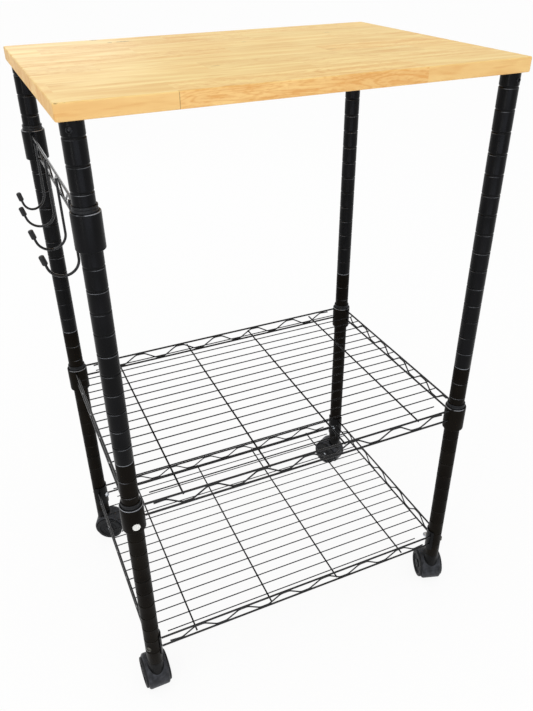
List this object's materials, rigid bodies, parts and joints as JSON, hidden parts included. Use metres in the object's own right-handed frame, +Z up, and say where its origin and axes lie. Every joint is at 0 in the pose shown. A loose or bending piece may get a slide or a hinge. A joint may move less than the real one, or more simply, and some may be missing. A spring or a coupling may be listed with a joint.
{
  "type": "rolling kitchen cart",
  "caption": "Rolling kitchen cart with a wooden worktop on grooved round posts, a wire shelf half way up, a wire shelf near the floor, a side rail with hooks, and swivel casters.",
  "frame": {"origin": "on the floor, under the middle of the outline with the casters as they stand in the picture", "axes": "+Z up, +X to the right along the worktop's long side, +Y to the back; the hook rail is on the left, at -X"},
  "size_m": [0.5698, 0.4054, 0.8575],
  "materials": {
    "oiled_hardwood": "satin lacquer",
    "black_powder_coat": "satin powder coat",
    "black_nylon": "moulded",
    "black_vinyl": "dipped, matt",
    "caster_nylon": "moulded, satin",
    "caster_tread": "moulded",
    "zinc_steel": "bright zinc",
    "black_steel_screw": "blackened",
    "badge_plate": "satin"
  },
  "bodies": {
    "cart": {"worktop": "oiled_hardwood", "top_plugs": "black_nylon", "top_plug_screws": "zinc_steel", "post_set_screws": "black_steel_screw", "post_couplers": "zinc_steel", "mid_collars": "black_powder_coat", "mid_sleeves": "black_nylon", "badge": "badge_plate", "corner_plates": "black_powder_coat", "shelf_screws": "black_steel_screw", "rail_collars": "black_powder_coat", "rail_sleeves": "black_nylon", "hook_rail": "black_powder_coat", "hook_tips": "black_vinyl", "caster_sockets": "black_nylon", "upper_post_fl": "black_powder_coat", "lower_post_fl": "black_powder_coat", "upper_post_fr": "black_powder_coat", "lower_post_fr": "black_powder_coat", "upper_post_bl": "black_powder_coat", "lower_post_bl": "black_powder_coat", "upper_post_br": "black_powder_coat", "lower_post_br": "black_powder_coat", "mid_front_truss": "black_powder_coat", "mid_back_truss": "black_powder_coat", "mid_left_truss": "black_powder_coat", "mid_right_truss": "black_powder_coat", "mid_cross_wires": "black_powder_coat", "mid_deck_wires": "black_powder_coat", "lower_front_truss": "black_powder_coat", "lower_back_truss": "black_powder_coat", "lower_left_truss": "black_powder_coat", "lower_right_truss": "black_powder_coat", "lower_cross_wires": "black_powder_coat", "lower_deck_wires": "black_powder_coat", "hook_1": "black_powder_coat", "hook_2": "black_powder_coat", "hook_3": "black_powder_coat", "hook_4": "black_powder_coat"},
    "caster_fl": {"caster_housing_fl": "caster_nylon", "caster_pins_fl": "zinc_steel"},
    "wheel_left_fl": {"wheel_left_fl": "caster_tread"},
    "wheel_right_fl": {"wheel_right_fl": "caster_tread"},
    "caster_fr": {"caster_housing_fr": "caster_nylon", "caster_pins_fr": "zinc_steel"},
    "wheel_left_fr": {"wheel_left_fr": "caster_tread"},
    "wheel_right_fr": {"wheel_right_fr": "caster_tread"},
    "caster_bl": {"caster_housing_bl": "caster_nylon", "caster_pins_bl": "zinc_steel"},
    "wheel_left_bl": {"wheel_left_bl": "caster_tread"},
    "wheel_right_bl": {"wheel_right_bl": "caster_tread"},
    "caster_br": {"caster_housing_br": "caster_nylon", "caster_pins_br": "zinc_steel"},
    "wheel_left_br": {"wheel_left_br": "caster_tread"},
    "wheel_right_br": {"wheel_right_br": "caster_tread"}
  },
  "joints": [
    {"name": "swivel_fl", "type": "hinge", "parent": "cart", "child": "caster_fl", "pos_m": [-0.2377, -0.18341, 0.06], "axis": [0, 0, 1], "continuous": true},
    {"name": "roll_left_fl", "type": "hinge", "parent": "caster_fl", "child": "wheel_left_fl", "pos_m": [-0.2377, -0.17241, 0.023], "axis": [1, 0, 0], "continuous": true},
    {"name": "roll_right_fl", "type": "hinge", "parent": "caster_fl", "child": "wheel_right_fl", "pos_m": [-0.2377, -0.17241, 0.023], "axis": [1, 0, 0], "continuous": true},
    {"name": "swivel_fr", "type": "hinge", "parent": "cart", "child": "caster_fr", "pos_m": [0.2567, -0.18341, 0.06], "axis": [0, 0, 1], "continuous": true},
    {"name": "roll_left_fr", "type": "hinge", "parent": "caster_fr", "child": "wheel_left_fr", "pos_m": [0.2601, -0.17295, 0.023], "axis": [0.9511, -0.309, 0], "continuous": true},
    {"name": "roll_right_fr", "type": "hinge", "parent": "caster_fr", "child": "wheel_right_fr", "pos_m": [0.2601, -0.17295, 0.023], "axis": [0.9511, -0.309, 0], "continuous": true},
    {"name": "swivel_bl", "type": "hinge", "parent": "cart", "child": "caster_bl", "pos_m": [-0.2377, 0.16289, 0.06], "axis": [0, 0, 1], "continuous": true},
    {"name": "roll_left_bl", "type": "hinge", "parent": "caster_bl", "child": "wheel_left_bl", "pos_m": [-0.22765, 0.15842, 0.023], "axis": [-0.4067, -0.9135, 0], "continuous": true},
    {"name": "roll_right_bl", "type": "hinge", "parent": "caster_bl", "child": "wheel_right_bl", "pos_m": [-0.22765, 0.15842, 0.023], "axis": [-0.4067, -0.9135, 0], "continuous": true},
    {"name": "swivel_br", "type": "hinge", "parent": "cart", "child": "caster_br", "pos_m": [0.2567, 0.16289, 0.06], "axis": [0, 0, 1], "continuous": true},
    {"name": "roll_left_br", "type": "hinge", "parent": "caster_br", "child": "wheel_left_br", "pos_m": [0.25137, 0.17251, 0.023], "axis": [0.8746, 0.4848, 0], "continuous": true},
    {"name": "roll_right_br", "type": "hinge", "parent": "caster_br", "child": "wheel_right_br", "pos_m": [0.25137, 0.17251, 0.023], "axis": [0.8746, 0.4848, 0], "continuous": true}
  ]
}
